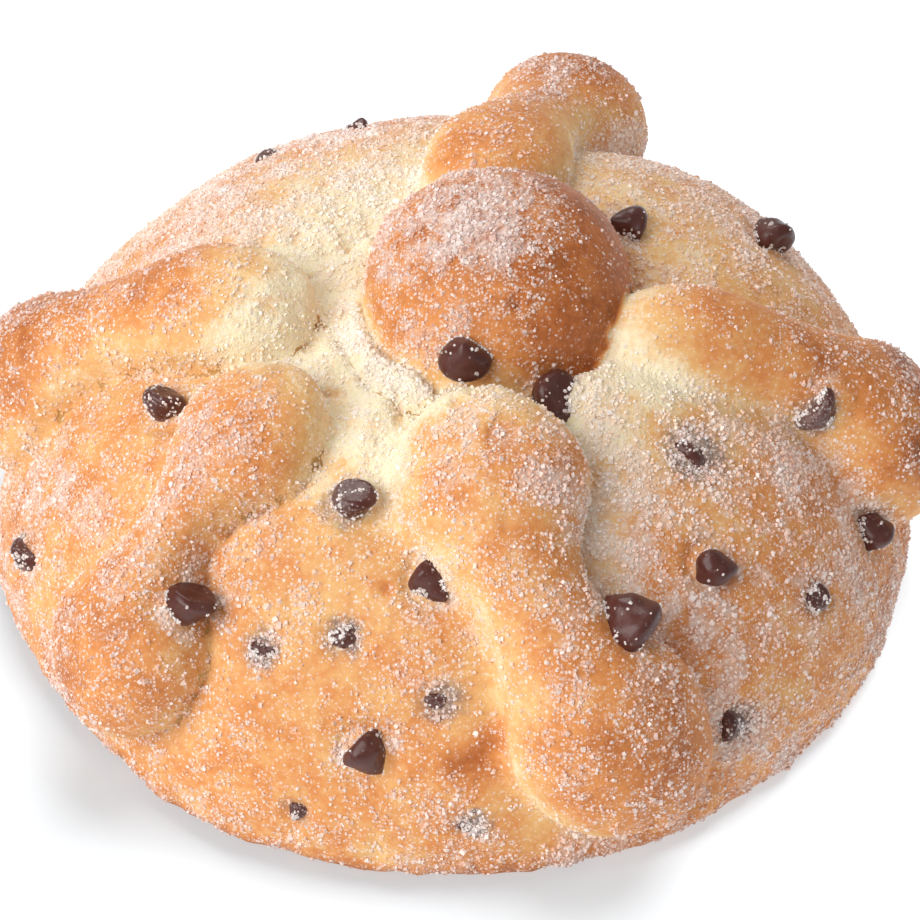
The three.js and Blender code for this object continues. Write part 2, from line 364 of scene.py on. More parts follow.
def bump(at, spread, value):
    """Bell curve of height 1 at a place: e to the minus square of the distance over the spread."""
    return np.exp(-(((value - at) / spread) ** 2))


def larger(a, b, blend):
    """The larger of two heights, with a round fillet where they differ by less than the blend."""
    near = np.maximum(blend - np.abs(a - b), 0) / blend
    return np.maximum(a, b) + near * near * blend / 4


def turn_window(azimuth, middle, half_width, soft):
    """1 within a half width of an azimuth, falling to 0 over a soft margin, all in degrees."""
    away = np.abs((np.degrees(azimuth) - middle + 180) % 360 - 180)
    return 1 - step(half_width, half_width + soft, away)


def noise(points, size, seed):
    """Smooth random values from -1 to 1: random numbers on a lattice of a size, blended by smooth steps."""
    lattice = np.random.default_rng(seed).uniform(-1, 1, (LATTICE_CELLS,) * 3)
    scaled = points / size
    cell = np.floor(scaled).astype(int)
    part = scaled - cell
    part = part * part * (3 - 2 * part)
    total = np.zeros(len(points))
    for corner in np.ndindex(2, 2, 2):
        weight = np.prod(np.where(corner, part, 1 - part), axis=1)
        x, y, z = ((cell + corner) % LATTICE_CELLS).T
        total += weight * lattice[x, y, z]
    return total


def unit(vectors):
    """Each vector divided by its length."""
    return vectors / np.maximum(np.linalg.norm(vectors, axis=-1, keepdims=True), 1e-12)


def dot(a, b):
    """Scalar product of each pair of rows."""
    return np.einsum("ij,ij->i", a, b)


# The bread's form


def outline(azimuth, loaf):
    """Share of the round radius in a direction: an outline a little wider one way."""
    return 1 + loaf.out_of_round * np.cos(2 * (azimuth - loaf.wide_azimuth))


def dome_height(distance, loaf):
    """Height of the smooth dome: a superellipse over the girth, less a bell-shaped dip in the crown."""
    fall = np.clip(distance / loaf.radius, 0, 1) ** loaf.fullness
    dip = loaf.dip_depth * np.exp(-((distance / loaf.dip_radius) ** 3))
    return loaf.girth_height + (loaf.height - loaf.girth_height) * np.sqrt(1 - fall) - dip


def dome_normal(points, loaf):
    """Outward normals of the smooth dome, from the slope of its height at each point's distance."""
    gap = loaf.radius * 0.0005
    distance = np.clip(np.hypot(points[:, 0], points[:, 1]), gap, loaf.radius - 2 * gap)
    slope = (dome_height(distance + gap, loaf) - dome_height(distance - gap, loaf)) / (2 * gap)
    azimuth = np.arctan2(points[:, 1], points[:, 0])
    return unit(np.stack([-slope * np.cos(azimuth), -slope * np.sin(azimuth), np.ones_like(slope)], 1))


def half_section(loaf):
    """Distance, height and normal along the loaf's half section, at shares of its length.

    It runs from the crown down the dome to the girth, and round a quarter ellipse to the edge of the base.
    """
    turn = np.linspace(0, math.pi / 2, SECTION_POINTS)
    dome = loaf.radius * np.sin(turn) ** (2 / loaf.fullness)
    skirt = loaf.base_radius + (loaf.radius - loaf.base_radius) * np.cos(turn[1:])
    distance = np.concatenate([dome, skirt])
    height = np.concatenate([dome_height(dome, loaf), loaf.girth_height * (1 - np.sin(turn[1:]))])
    length = np.concatenate([[0], np.cumsum(np.hypot(np.diff(distance), np.diff(height)))])
    across = unit(np.stack([-np.gradient(height, length), np.gradient(distance, length)], 1))
    return length / length[-1], distance, height, across


def square_grid(cells):
    """Corners of a square grid from -1 to 1 both ways, as rows of pairs of u and v."""
    line = np.linspace(-1, 1, cells + 1)
    return np.stack(np.meshgrid(line, line), -1)


def on_disc(grid):
    """Share of the radius and azimuth of each corner when the square is folded onto a disc.

    Each square ring becomes a circle, and the corners of a ring keep their shares of the way around it.
    """
    u, v = grid.reshape(-1, 2).T
    wide = np.abs(u) >= np.abs(v)
    with np.errstate(divide="ignore", invalid="ignore"):
        turn = np.where(wide, math.pi / 4 * v / u, math.pi / 2 - math.pi / 4 * u / v)
    turn = np.nan_to_num(turn)
    reach = np.where(wide, u, v)
    azimuth = np.arctan2(reach * np.sin(turn), reach * np.cos(turn))
    return np.abs(reach), azimuth


def bare_loaf(grid, loaf):
    """Points and normals of the smooth loaf, with each ring of the grid at its share of the half section."""
    share, azimuth = on_disc(grid)
    shares, distances, heights, across = half_section(loaf)
    distance = np.interp(share, shares, distances) * outline(azimuth, loaf)
    height = np.interp(share, shares, heights)
    out, up = (np.interp(share, shares, across[:, i]) for i in range(2))
    points = np.stack([distance * np.cos(azimuth), distance * np.sin(azimuth), height], 1)
    normals = unit(np.stack([out * np.cos(azimuth), out * np.sin(azimuth), up], 1))
    return points, normals


def between(surface, grid):
    """Points of a surface that is known at the corners of the regular grid, blended between four corners."""
    cells = len(surface) - 1
    place = (grid + 1) / 2 * cells
    cell = np.clip(place.astype(int), 0, cells - 1)
    part = place - cell
    column, row = cell[..., 0], cell[..., 1]
    across, along = part[..., :1], part[..., 1:]
    near = surface[row, column] * (1 - across) + surface[row, column + 1] * across
    far = surface[row + 1, column] * (1 - across) + surface[row + 1, column + 1] * across
    return near * (1 - along) + far * along


def even_grid(loaf):
    """The square grid, moved so that its cells are about as long on steep sides as on level ground.

    In each round a corner moves towards the mean of its four neighbours, each weighted by the stretch of the
    surface on the way there. The rim stays.
    """
    grid = square_grid(loaf.cells)
    points, normals = bare_loaf(grid, loaf)
    heights = [bone_field(points, normals, bone, loaf).height for bone in BONES.values()]
    height = np.max([np.zeros(len(points)), knob_height(points, normals, loaf), *heights], axis=0)
    height *= step(0, 5 * MM, points[:, 2])
    surface = (points + normals * height[:, None]).reshape(*grid.shape[:2], 3)
    for _ in range(loaf.even_rounds):
        at = between(surface, grid)
        total = np.zeros(grid.shape[:2])
        move = np.zeros(grid.shape)
        for axis, shift in ((0, 1), (0, -1), (1, 1), (1, -1)):
            gap = np.roll(grid, shift, axis) - grid
            reach = np.linalg.norm(np.roll(at, shift, axis) - at, axis=-1)
            stretch = reach / np.linalg.norm(gap, axis=-1)
            total += stretch
            move += stretch[..., None] * gap
        grid[1:-1, 1:-1] += EVEN_PACE * (move / total[..., None])[1:-1, 1:-1]
    return grid


def bulging(sizes, share):
    """Size along a bone: its waist, with a bell-shaped rise to a bulge that keeps its size on to each end."""
    inner, waist, outer = (size * MM for size in sizes)
    near = bump(0, BULGE_SPREAD, np.maximum(share - INNER_BULGE_AT, 0))
    far = bump(0, BULGE_SPREAD, np.maximum(OUTER_BULGE_AT - share, 0))
    return waist + (inner - waist) * near + (outer - waist) * far


def bone_path(bone, loaf):
    """Points, forward and sideways directions and length of a bone's middle line, at even steps along it.

    It is a straight plan line with a parabolic bow to one side, lifted onto the dome.
    """
    ends = [
        np.array([math.cos(math.radians(azimuth)), math.sin(math.radians(azimuth))]) * distance * MM
        for azimuth, distance in (bone.start, bone.end)
    ]
    share = np.linspace(0, 1, PLAN_POINTS)[:, None]
    run = ends[1] - ends[0]
    side = np.array([-run[1], run[0]]) / np.linalg.norm(run)
    plan = ends[0] + share * run + 4 * share * (1 - share) * bone.bow * MM * side
    azimuth = np.arctan2(plan[:, 1], plan[:, 0])
    height = dome_height(np.hypot(plan[:, 0], plan[:, 1]) / outline(azimuth, loaf), loaf)
    line = np.column_stack([plan, height])
    length = np.concatenate([[0], np.cumsum(np.linalg.norm(np.diff(line, axis=0), axis=1))])
    even = np.linspace(0, length[-1], BONE_PATH_POINTS)
    points = np.stack([np.interp(even, length, line[:, i]) for i in range(3)], 1)
    forward = unit(np.gradient(points, axis=0))
    up = dome_normal(points, loaf)
    up = unit(up - dot(up, forward)[:, None] * forward)
    return points, forward, np.cross(up, forward), length[-1]


class BoneField(NamedTuple):
    """A bone over every point of the loaf: its height, and where the point lies on it.

    That is the share of the way along the bone, the offset to its left and the distance outside its edge.
    Soft is how soft that edge is.
    """

    height: np.ndarray
    share: np.ndarray
    offset: np.ndarray
    outside: np.ndarray
    soft: np.ndarray


def bone_field(points, normals, bone, loaf):
    """How far along its normal each point meets the far side of a bone.

    Across the bone, at the nearest point of its middle line, it is an oval that shrinks towards its ends.
    The height is the larger root of the quadratic for that oval, where there is one, and runs on below the
    loaf elsewhere. The root's power is one half at a crease and nearly one at a soft edge.
    """
    line, forward, side, length = bone_path(bone, loaf)
    nearest = ((points**2).sum(1)[:, None] + (line**2).sum(1) - 2 * points @ line.T).argmin(1)
    forward, side = forward[nearest], side[nearest]
    up = np.cross(forward, side)
    place = points - line[nearest]
    share = nearest / (len(line) - 1) + dot(place, forward) / length
    offset = dot(place, side)
    kept = np.clip(share, 0, 1)
    width = bulging(bone.half_widths, kept)
    tall = bulging(bone.half_heights, kept)
    across, rise = offset / width, (dot(place, up) - BONE_LIFT) / tall
    way_across, way_up = dot(normals, side) / width, dot(normals, up) / tall
    a = way_across**2 + way_up**2
    b = across * way_across + rise * way_up
    c = across**2 + rise**2 + np.abs(2 * share - 1) ** BONE_END_BLUNTNESS - 1
    inside = (b * b - a * c) / (a * tall) ** 2
    outer = step(0.35, 0.65, share)
    right, left = ((1 - outer) * bone.softness[i] + outer * bone.softness[i + 2] for i in range(2))
    soft = np.where(offset < 0, right, left)
    height = -b / a + tall * np.sign(inside) * np.abs(inside) ** (0.5 + 0.35 * soft)
    outside = (np.sqrt(np.maximum(1 - inside, 0)) - 1) * width
    return BoneField(height, share, offset, outside, soft)


def knob_height(points, normals, loaf):
    """How far along its normal each point meets the far side of the knob, a flattened ball.

    That is the larger root of the quadratic for the ball; where there is none, it runs on below the loaf.
    """
    shape = 1 / np.array([loaf.knob_radius, loaf.knob_radius, loaf.knob_half_height])
    place = (points - np.array(loaf.knob_centre)) * shape
    way = normals * shape
    a = dot(way, way)
    b = dot(way, place)
    inside = (b * b - a * (dot(place, place) - 1)) / (a * a)
    return -b / a + np.sign(inside) * np.sqrt(np.abs(inside))


def skin(points, size, seed):
    """Uneven skin of risen dough: three sizes of noise, with small dents where the finest is strongest."""
    slow = noise(points, 13 * size, seed)
    middle = noise(points, 4.5 * size, seed + 1)
    fine = noise(points, 1.7 * size, seed + 2)
    dents = step(0.45, 0.8, noise(points, 3.2 * size, seed + 3))
    return (0.3 * slow + 0.13 * middle + 0.06 * fine - 0.28 * dents) * MM


class Form(NamedTuple):
    """The bread's surface with the bones over it and the knob's rise above it.

    With them come the distance and the azimuth round the knob, and the share of pits in the crumb.
    """

    points: np.ndarray
    fields: dict
    rise: np.ndarray
    ring: np.ndarray
    around: np.ndarray
    pits: np.ndarray


def crack_line(around):
    """Distance from the knob's axis of the crack outside its collar: a circle with five waves."""
    return CRACK_RING + 0.8 * MM * np.sin(5 * around)


def crown_relief(points, ring, around):
    """Height of the crown round the knob: a collar and a crack on one side, a lip and a gap on the other."""
    collar_line = COLLAR_RING + 0.7 * MM * np.sin(9 * around)
    collar = 1.5 * MM * bump(collar_line, 2.0 * MM, ring) * turn_window(around, *COLLAR_WINDOW)
    crack = 1.5 * MM * bump(crack_line(around), 0.8 * MM, ring) * turn_window(around, 212, 26, 10)
    crack *= step(-0.4, 0.3, noise(points, 6 * MM, 41))
    lip = 2.4 * MM * step(23.2 * MM, 24.6 * MM, ring) * bump(24 * MM, 13 * MM, ring)
    lip *= turn_window(around, 320, 22, 14)
    gap = 2.0 * MM * bump(22.8 * MM, 1.3 * MM, ring) * turn_window(around, 335, 45, 20)
    seam = 1.2 * MM * bump(22.5 * MM, 1.0 * MM, ring)
    return collar - crack + lip - gap - seam


def torn_crumb(points, ring, around):
    """Height of the torn crumb on one side of the crown, by noise of two sizes, and its share of pits."""
    torn = bump(24 * MM, 16 * MM, ring) * turn_window(around, 205, 55, 25)
    pits = torn * step(0.4, 0.65, noise(points, 3 * MM, 53))
    rough = 0.6 * noise(points, 1.5 * MM, 51) + 0.8 * noise(points, 3.5 * MM, 52)
    return (torn * rough - 1.1 * pits) * MM, pits


def torn_edges(points, fields):
    """Depth of the thin creases just outside some edges of the bones, broken up by noise where torn."""
    left, front_left, front = fields["left"], fields["front_left"], fields["front"]
    tear = bump(0.5 * MM, 0.8 * MM, left.outside) * (left.offset > 0) * step(0.02, 0.15, left.share)
    tear *= (1 - step(0.5, 0.8, left.share)) * step(-0.3, 0.4, noise(points, 5 * MM, 43))
    tuck = bump(0.4 * MM, 1.0 * MM, front_left.outside) * (front_left.offset > 0)
    tuck *= bump(0.5, 0.3, front_left.share)
    fold = bump(0.3 * MM, 0.9 * MM, front.outside) * (front.offset > 0) * step(0.08, 0.25, front.share)
    return (1.3 * tear + 1.5 * tuck + 1.4 * fold) * MM


def dough_height(points, fields, loaf):
    """Height of the loaf's own dough: two slow waves, less a groove along the bones' edges."""
    x, y, _ = points.T
    wave = 2 * math.pi / loaf.lump_spacing
    lumps = loaf.lump_height * 0.5 * (np.sin(wave * x + 0.6) + np.sin(wave * (0.5 * x + 0.87 * y) + 2.1))
    edge = np.min([np.maximum(field.outside, 0) for field in fields.values()], axis=0)
    return lumps - loaf.groove_depth * bump(0, loaf.groove_width, edge)


def bread_form(loaf):
    """Surface of the whole bread: the smooth loaf, moved along its normals by the largest height over it.

    The heights are those of the dough's own relief, the bones and the knob. Drops and marks dent it, and near
    the base it moves in and out a little, by noise.
    """
    points, normals = bare_loaf(even_grid(loaf), loaf)
    x, y, z = points.T
    fields = {name: bone_field(points, normals, bone, loaf) for name, bone in BONES.items()}
    ring = np.hypot(x - loaf.knob_centre[0], y - loaf.knob_centre[1])
    around = np.arctan2(y - loaf.knob_centre[1], x - loaf.knob_centre[0])
    height = dough_height(points, fields, loaf) + crown_relief(points, ring, around) + skin(points, MM, 61)
    for seed, field in enumerate(fields.values()):
        dough = field.height + skin(points, 1.1 * MM, 80 + 10 * seed)
        height = larger(height, dough, (1.2 + 4 * field.soft) * MM)
    crumb, pits = torn_crumb(points, ring, around)
    height += crumb - torn_edges(points, fields)
    knob = knob_height(points, normals, loaf) + 0.7 * skin(points, 1.2 * MM, 150)
    rise = knob - height
    height = larger(height, knob, 1.0 * MM)
    height -= drop_dents(points)
    height *= step(0, 5 * MM, z)
    points = points + normals * height[:, None]
    sunk = sum(mark.depth * MM * share for mark, share in zip(MARKS.values(), mark_shares(points)))
    points -= normals * sunk[:, None]
    ragged = (0.7 * noise(points, 9 * MM, 171) + 0.5 * noise(points, 3 * MM, 172)) * step(14 * MM, 3 * MM, z)
    points[:, :2] *= 1 + (ragged * MM / loaf.radius)[:, None]
    return Form(points, fields, rise, ring, around, pits)


def mark_shares(points):
    """Share of each mark at each point: a bell curve of the distance from the mark's line."""
    shares = []
    for mark in MARKS.values():
        start, end = np.array(mark.start) * MM, np.array(mark.end) * MM
        run = end - start
        along = np.clip((points - start) @ run / max(run @ run, 1e-12), 0, 1)
        away = np.linalg.norm(points - start - along[:, None] * run, axis=1)
        shares.append(bump(0, mark.half_width * MM, away))
    return shares


def drop_dents(points):
    """Depth of the shallow ring in the dough round each chocolate drop: a bell curve at the drop's edge."""
    depth = np.zeros(len(points))
    for name in DROP_NODES:
        drop = drop_place(name)
        away = np.linalg.norm(points - drop.middle, axis=1)
        depth = np.maximum(depth, DENT_DEPTH * bump(drop.radius * 1.1, 1.1 * MM, away))
    return depth


# The crust's bake, sugar, smudges and cracks


class Crust(NamedTuple):
    """How baked the crust is, and how much sugar lies on it, at every point."""

    bake: np.ndarray
    sugar: np.ndarray


def laid_over(under, over, share):
    """One crust over another, by the share of the upper one at each point."""
    return Crust(*(a * (1 - share) + b * share for a, b in zip(under, over)))


def loaf_crust(form, patch):
    """Crust of the bare loaf: pale round the knob, and sugared in patches, most at the back and the right."""
    x, y, z = form.points.T
    azimuth = np.arctan2(y, x)
    crown = (1 - step(27 * MM, 62 * MM, form.ring)) * (0.4 + 0.6 * turn_window(form.around, 200, 100, 50))
    # The right panel, near azimuth 320 degrees, is browner: partly its own bake, partly painted shade.
    bake = 0.46 + 0.07 * patch - 0.45 * crown + 0.07 * turn_window(azimuth, 320, 35, 20)
    sugar = 0.5 + 0.25 * patch + 0.85 * step(0, 40 * MM, y) + 0.32 * turn_window(azimuth, 318, 28, 14)
    sugar *= 1 + 0.5 * bump(28 * MM, 14 * MM, form.ring) * turn_window(form.around, 215, 50, 25)
    front = turn_window(azimuth, 255, 22, 12) * step(45 * MM, 30 * MM, z) * step(6 * MM, 16 * MM, z)
    return Crust(bake, sugar * (1 - 0.5 * front))


def with_bone(crust, field, bone, patch, painted_shade):
    """The crust with a bone over it, most baked and sugared on its crest, and with a paler loaf beside it."""
    on_bone = step(1.2 * MM, -1.5 * MM, field.outside)
    right, left, crest, pale = bone.bake
    edge = np.interp(field.offset / MM, (-4, 4), (right, left))
    top = 1 - (1 - np.clip(-field.outside / (9 * MM), 0, 1)) ** 2
    # The crest is painted browner on the right side, as painted shade.
    crest = crest + 0.16 * step(0.5, 0.85, field.share) + 0.05 * painted_shade
    near_crown = step(0.12 + 0.36 * pale, 0.04, field.share)
    bake = edge + top * (crest - edge) - pale * near_crown + 0.07 * patch
    # Less sugar on the right side, as painted shade.
    sugar = 0.36 + bone.sugar + 0.35 * top + 0.3 * patch - 0.3 * painted_shade
    beside = 0.22 * bump(0, 6 * MM, field.outside) * (0.4 + 0.6 * field.soft)
    return laid_over(Crust(crust.bake - beside, crust.sugar), Crust(bake, sugar), on_bone)


def with_knob(crust, form, patch):
    """The crust with the knob over it: brown, with painted shade on its right, paler at its foot on one side,
    capped with sugar.

    Below it, sugar has drifted beside the front bone and into the collar, and the crumb's pits are painted
    darker, as painted shade.
    """
    x, y, _ = form.points.T
    on_knob = step(-0.5 * MM, 0.8 * MM, form.rise)
    front = form.fields["front"]
    drift = bump(4 * MM, 5 * MM, front.outside) * (front.offset > 0) * bump(0.4, 0.18, front.share)
    collar = bump(COLLAR_RING, 2.2 * MM, form.ring) * turn_window(form.around, *COLLAR_WINDOW)
    # Painted shade: the pits in the torn crumb are painted darker.
    below_bake = crust.bake - 0.15 * drift + 0.22 * form.pits
    below_sugar = crust.sugar + 1.6 * drift + 1.6 * collar * (1 - on_knob)
    foot = bump(0, 4 * MM, form.rise) * turn_window(form.around, 228, 55, 30)
    cap = bump(0, 16 * MM, np.hypot(x - 3 * MM, y - 1 * MM))
    # Painted shade: the knob's right side, away from the key light, is painted browner and given less sugar.
    bake = 0.55 + 0.1 * patch + 0.18 * step(0, 22 * MM, x) - 0.4 * foot + 0.18 * cap
    sugar = 0.18 + 1.3 * cap - 0.42 * step(4 * MM, 22 * MM, x)
    sugar += 0.12 * bump(3 * MM, 4 * MM, form.rise) * turn_window(form.around, 315, 22, 14)
    return laid_over(Crust(below_bake, below_sugar), Crust(bake, sugar), on_knob)


def sugar_clumps(points):
    """How much the sugar gathers, from 0 to 1: noise of three sizes, held at both ends."""
    slow, middle = noise(points, 6 * MM, 203), noise(points, 2.4 * MM, 206)
    return step(-0.45, 0.6, 0.6 * slow + 0.7 * middle + 0.5 * noise(points, 1.2 * MM, 207))


def bread_values(form):
    """How baked, dusted, sugared, smudged and cracked the bread is, as values by name.

    The bones and the knob are laid over the loaf's own crust. Marks darken it, the pits with painted shade,
    the rings round the drops catch sugar, melted chocolate smudges the crust beside the dusted drops, and the
    loaf's foot is brown and bare.
    """
    points = form.points
    x, _, z = points.T
    patch = noise(points, 19 * MM, 201)
    small = noise(points, 6 * MM, 202)
    # Painted shade: towards the right, away from the key light, the bones' crests are painted browner and
    # their sugar thinner.
    painted_shade = step(-20 * MM, 60 * MM, x)
    crust = loaf_crust(form, patch)
    for name, field in form.fields.items():
        crust = with_bone(crust, field, BONES[name], patch, painted_shade)
    bake, sugar = with_knob(crust, form, patch)
    bake += 0.05 * small
    # Marks darken the bake; in the pits this is painted shade in the dent.
    for mark, share in zip(MARKS.values(), mark_shares(points)):
        bake += mark.bake * share
        sugar *= 1 - 0.8 * share
    above = step(2 * MM, 8 * MM, z)
    bake = np.clip(bake, 0.001, 1) * above + BASE_BAKE * (1 - above)
    sugar += 0.8 * drop_dents(points) / DENT_DEPTH * step(-0.1, 0.4, noise(points, 2.6 * MM, 208))
    sugar = np.clip(sugar * (1 + 0.5 * small), 0.05, 1.8) * step(1.5 * MM, 4 * MM, z)
    clump = sugar_clumps(points)
    smudge = drop_smudges(points)
    return {
        "bake": bake,
        "dust": 0.07 + sugar * (0.35 + 0.75 * clump),
        "sugar": sugar * (0.12 + 0.88 * clump) + 0.35 * smudge,
        "smudge": smudge,
        "crack": crack_distance(form),
    }


def crack_distance(form):
    """Distance in millimetres from the nearest tear or crease line, below 0 on one side."""
    fields, ring, around = form.fields, form.ring, form.around
    left, front_left, front = fields["left"], fields["front_left"], fields["front"]
    # The dark line later painted along these lines is partly torn crumb and partly painted shade in the
    # creases.
    lines = [
        (left.outside - 0.6 * MM, ((left.offset > 0) & (left.share < 0.66)) | (left.share < 0.1)),
        (front_left.outside - 0.4 * MM, front_left.offset > 0),
        (front.outside - 0.2 * MM, (front.offset > 0) & (front.share > 0.15)),
        (ring - crack_line(around), turn_window(around, 210, 30, 10) > 0.5),
    ]
    far = FAR_FROM_CRACK
    away = np.array([np.where(torn, np.clip(distance, -far, far), far) for distance, torn in lines])
    nearest = np.abs(away).argmin(0)
    return away[nearest, np.arange(len(ring))] / MM


def dusted_way(dusting):
    """Level direction from a drop to its smudge."""
    azimuth = math.radians(dusting.azimuth)
    return np.array([math.cos(azimuth), math.sin(azimuth), 0])


def drop_smudges(points):
    """Share of chocolate smudge on the crust: a patch with uneven edges to one side of each dusted drop."""
    smudge = np.zeros(len(points))
    for name, dusting in DUSTED.items():
        nearest = np.linalg.norm(points - drop_place(name).middle, axis=1).argmin()
        reach = dusting.reach * MM
        away = np.linalg.norm(points - points[nearest] - 0.3 * reach * dusted_way(dusting), axis=1)
        away += (0.9 * noise(points, 1.6 * MM, 204) + 0.5 * noise(points, 0.8 * MM, 205)) * MM
        smudge = np.maximum(smudge, dusting.smudge * step(1.1 * reach, 0.5 * reach, away))
    return smudge


# The bread's faces


def grid_faces(cells):
    """Corners of each cell of a square grid, in a turn that faces up."""
    at = np.arange((cells + 1) ** 2).reshape(cells + 1, cells + 1)
    return np.stack([at[:-1, :-1], at[:-1, 1:], at[1:, 1:], at[1:, :-1]], -1).reshape(-1, 4)


def grid_rim(cells):
    """Corners along the four sides of a square grid, once round against the clock."""
    at = np.arange((cells + 1) ** 2).reshape(cells + 1, cells + 1)
    return np.concatenate([at[0, :-1], at[:-1, -1], at[-1, :0:-1], at[:0:-1, 0]])


def bake_bread(loaf):
    """The whole bread with its flat base: the grid's rim is joined to a smaller ring, that to the middle."""
    form = bread_form(loaf)
    values = bread_values(form)
    rim = grid_rim(loaf.cells)
    count = len(form.points)
    inner = form.points[rim] * (0.6, 0.6, 0)
    ring = count + np.arange(len(rim))
    middle = np.full(len(rim), count + len(rim))
    base = np.stack([rim, ring, np.roll(ring, -1), np.roll(rim, -1)], 1)
    fan = np.stack([ring, middle, middle, np.roll(ring, -1)], 1)
    points = np.concatenate([form.points, inner, [[0, 0, 0]]])
    faces = np.concatenate([grid_faces(loaf.cells), base, fan])
    below = {"bake": BASE_BAKE, "crack": FAR_FROM_CRACK / MM}
    for key, value in values.items():
        values[key] = np.append(value, np.full(len(rim) + 1, below.get(key, 0)))
    return points, faces, values


# Chocolate drops


class DropPlace(NamedTuple):
    """Where a drop sits: the middle of its flat base, its axis to the tip, its radius, height and middle."""

    base: np.ndarray
    axis: np.ndarray
    radius: float
    height: float
    middle: np.ndarray


def drop_place(name):
    """Place and size of a drop, read from its solid: the base is the largest flat face, opposite the tip."""
    mesh = frame["nodes"][name].data
    corners = read_all(mesh.vertices, "co", 3)
    triangles = read_all(mesh.polygons, "vertices", 3, int)
    a, b, c = (corners[triangles[:, i]] for i in range(3))
    across = np.cross(b - a, c - a)
    area = np.linalg.norm(across, axis=1)
    facing = across / area[:, None]
    flat = [area[facing @ way > 0.999].sum() for way in facing]
    out = facing[int(np.argmax(flat))]
    on_base = facing @ out > 0.999
    base = np.average((a + b + c)[on_base] / 3, axis=0, weights=area[on_base])
    along = (corners - base) @ -out
    radius = np.linalg.norm(corners - base + along[:, None] * out, axis=1).max()
    return DropPlace(base, -out, radius, along.max(), base - out * along.max() * 0.4)


def drop_form(place, drops, seed):
    """A drop as rings round its axis, closed at the base and the tip.

    From the base's middle out, round its edge and up to the tip, the radius is a power of the share left to
    the tip. Noise dents it, a low ridge winds round it, and the tip bends over a little.
    """
    rng = np.random.default_rng(seed)
    t = np.linspace(0, 1, drops.rings)[:, None]
    turn = np.linspace(0, 2 * math.pi, drops.sides, endpoint=False)[None, :]
    flat = 0.16
    rise = np.clip((t - flat) / (1 - flat), 0, 1)
    up = rise**1.2
    round_edge = np.sin(np.clip(rise / 0.34, 0, 1) * math.pi / 2)
    reach = np.where(t < flat, 0.72 * t / flat, (0.72 + 0.28 * round_edge) * (1 - up**1.9) ** 0.85)
    ridge = 0.07 * np.sin(2 * turn + 7 * up + rng.uniform(0, 6)) * np.sin(math.pi * up)
    radius = place.radius * reach * (1 + ridge)
    bend = place.radius * 0.22 * up**3
    lean = rng.uniform(0, 2 * math.pi)
    side = unit(np.cross(place.axis, [0.3, 0.5, 0.8]))
    across = np.cross(place.axis, side)
    points = (
        place.base
        + (up * place.height)[..., None] * place.axis
        + (radius * np.cos(turn) + bend * math.cos(lean))[..., None] * side
        + (radius * np.sin(turn) + bend * math.sin(lean))[..., None] * across
    ).reshape(-1, 3)
    out = unit(points - place.base - 0.4 * place.height * place.axis)
    dents = 0.3 * noise(points, 2.8 * MM, 300 + seed) + 0.08 * noise(points, 1.1 * MM, 400 + seed)
    return points + out * dents[:, None] * MM


def above_crust(points, crust, normals):
    """How far each point of a drop stands out of the crust, along the normal of the crust's nearest point."""
    near = np.linalg.norm(crust - points.mean(0), axis=1) < NEAR_DROP
    crust, normals = crust[near], normals[near]
    far = (points**2).sum(1)[:, None] + (crust**2).sum(1) - 2 * points @ crust.T
    nearest = far.argmin(1)
    return dot(points - crust[nearest], normals[nearest])


def drop_values(points, place, above, dusting, seed):
    """Dust and sugar on a drop, as values by name: more towards its smudge and where it meets the crust."""
    slant = (points - place.middle) @ dusted_way(dusting) / place.radius
    dust = dusting.share * (1 + 0.8 * slant) + 0.25 * bump(0, 0.6 * MM, above)
    clump = step(-0.1, 0.5, noise(points, 1.5 * MM, 500 + seed))
    rim = 0.03 + 1.6 * dusting.share**2 + 0.7 * bump(0.2 * MM, 0.7 * MM, above)
    return {"dust": dust, "sugar": rim * clump * (above > 0)}


def ring_faces(rings, sides):
    """Quads between neighbouring rings, round the whole turn."""
    at = np.arange(rings * sides).reshape(rings, sides)
    turned = np.roll(at, -1, axis=1)
    return np.stack([at[:-1], turned[:-1], turned[1:], at[1:]], -1).reshape(-1, 4)


# Sugar


def sugar_places(names, count, gather, rng):
    """Places of grains on some pieces, as thick as a power of the pieces' own sugar values says.

    With each place come the normal, the thickness of the sugar, the bake and the smudge there.
    """
    pieces = [bpy.data.objects[name] for name in names]
    parts = [read_piece(piece) for piece in pieces]
    starts = np.cumsum([0] + [len(points) for points, _, _ in parts[:-1]])
    points, normals = (np.concatenate([part[i] for part in parts]) for i in range(2))
    quads = np.concatenate([part[2] + start for part, start in zip(parts, starts)])
    keys = ("sugar", "bake", "smudge")
    thick, bake, smudge = (np.concatenate([read_values(piece, key) for piece in pieces]) for key in keys)
    drawn, shares = scatter(points, quads, thick**gather, count, rng)
    places, out, *values = (blended(part, drawn, shares) for part in (points, normals, thick, bake, smudge))
    return places, unit(out), *values


def random_turns(count, rng):
    """Random turns in space as matrices, from evenly spread unit quaternions."""
    w, x, y, z = unit(rng.normal(size=(count, 4))).T
    rows = [
        [1 - 2 * (y * y + z * z), 2 * (x * y - z * w), 2 * (x * z + y * w)],
        [2 * (x * y + z * w), 1 - 2 * (x * x + z * z), 2 * (y * z - x * w)],
        [2 * (x * z - y * w), 2 * (y * z + x * w), 1 - 2 * (x * x + y * y)],
    ]
    return np.moveaxis(np.array(rows), -1, 0)


